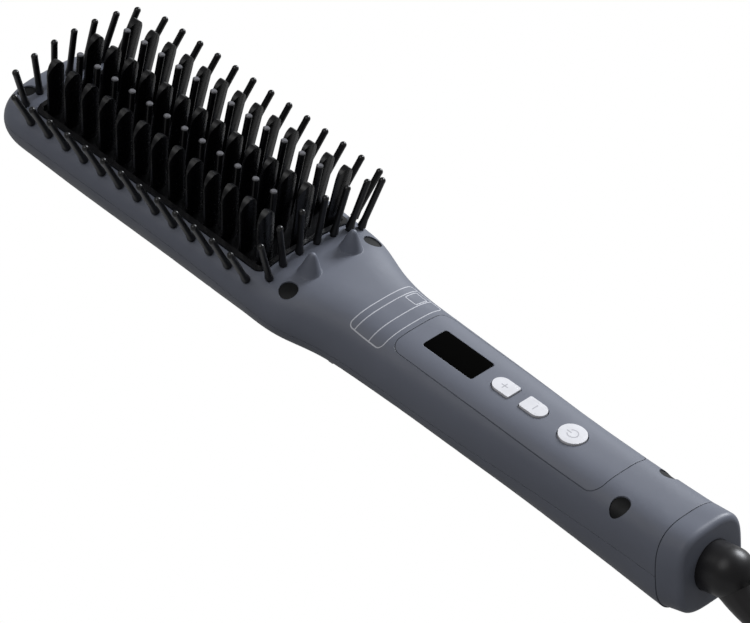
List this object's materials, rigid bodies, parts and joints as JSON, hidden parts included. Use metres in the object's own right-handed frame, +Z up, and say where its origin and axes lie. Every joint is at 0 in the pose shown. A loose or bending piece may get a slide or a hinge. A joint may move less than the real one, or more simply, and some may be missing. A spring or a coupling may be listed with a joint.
{
  "type": "hair straightener brush",
  "caption": "Corded heated hair straightening brush with blade and pin teeth, guard bristles, a small display, press buttons and a swivel cord.",
  "frame": {"origin": "below the middle of the brush, without its free cord, on the surface that it rests on", "axes": "+Z up along the teeth, +X from the head's tip to the cord, +Y to the left of the brush"},
  "size_m": [0.4473, 0.098, 0.0484],
  "materials": {
    "shell": "soft-touch matte",
    "panel": "soft-touch matte",
    "black_frame": "satin",
    "teeth": "satin ceramic coat",
    "bristle": "satin nylon",
    "plate": "anodised black",
    "film": "polyimide",
    "strip": "plain",
    "ceramic": "ceramic",
    "steel": "plain",
    "zinc_screw": "zinc plated",
    "button": "satin silver",
    "window": "gloss",
    "lcd": "display glass",
    "board": "solder mask",
    "chip": "moulded",
    "switch": "moulded",
    "stem": "moulded",
    "film_capacitor": "cast",
    "fuse_glass": "clear",
    "terminal": "moulded",
    "header": "moulded",
    "plug_cap": "matte",
    "brass": "plain",
    "red_wire": "insulation",
    "sensor_wire": "insulation",
    "cord": "satin",
    "nickel": "nickel plate"
  },
  "bodies": {
    "brush_body": {"front_housing": "shell", "rear_housing": "shell", "tail_cap": "shell", "heater_bezel": "black_frame", "heater_plate": "plate", "blade_teeth": "teeth", "heated_pins": "teeth", "guard_bristles": "bristle", "insulation_films": "film", "electrode_strips": "strip", "ptc_elements": "ceramic", "heater_clamp": "steel", "heater_screws": "zinc_screw", "heat_shield": "steel", "shield_screws": "zinc_screw", "thermistor": "ceramic", "thermal_fuse": "steel", "heater_wires": "red_wire", "sensor_wires": "sensor_wire", "control_panel": "panel", "display_window": "window", "display_module": "lcd", "control_board": "board", "control_chip": "chip", "tact_switches": "switch", "board_screws": "zinc_screw", "board_connector": "header", "power_board": "board", "triac": "chip", "filter_capacitor": "film_capacitor", "mains_fuse": "fuse_glass", "terminal_block": "terminal", "housing_screws": "zinc_screw", "screw_plugs": "plug_cap", "swivel_retainer": "black_frame", "contact_brushes": "brass", "mains_wires": "red_wire"},
    "cord_swivel_body": {"swivel_hub": "black_frame", "contact_rings": "brass", "cord_strain_relief": "cord", "power_cord": "cord", "cord_coil": "cord", "plug_lead": "cord", "plug_body": "cord", "plug_blades": "nickel"},
    "plus_key": {"plus_button": "button", "plus_switch_stem": "stem"},
    "minus_key": {"minus_button": "button", "minus_switch_stem": "stem"},
    "power_key": {"power_button": "button", "power_switch_stem": "stem"}
  },
  "joints": [
    {"name": "plus_press", "type": "slide", "parent": "brush_body", "child": "plus_key", "axis": [0, 0, -1], "range_m": [0, 0.0004], "stiffness_N_per_m": 1500},
    {"name": "minus_press", "type": "slide", "parent": "brush_body", "child": "minus_key", "axis": [0, 0, -1], "range_m": [0, 0.0004], "stiffness_N_per_m": 1500},
    {"name": "power_press", "type": "slide", "parent": "brush_body", "child": "power_key", "axis": [0, 0, -1], "range_m": [0, 0.0004], "stiffness_N_per_m": 1500},
    {"name": "cord_swivel", "type": "hinge", "parent": "brush_body", "child": "cord_swivel_body", "pos_m": [0.13251, 0, 0.01625], "axis": [0.9717, 0, 0.2362], "continuous": true}
  ]
}
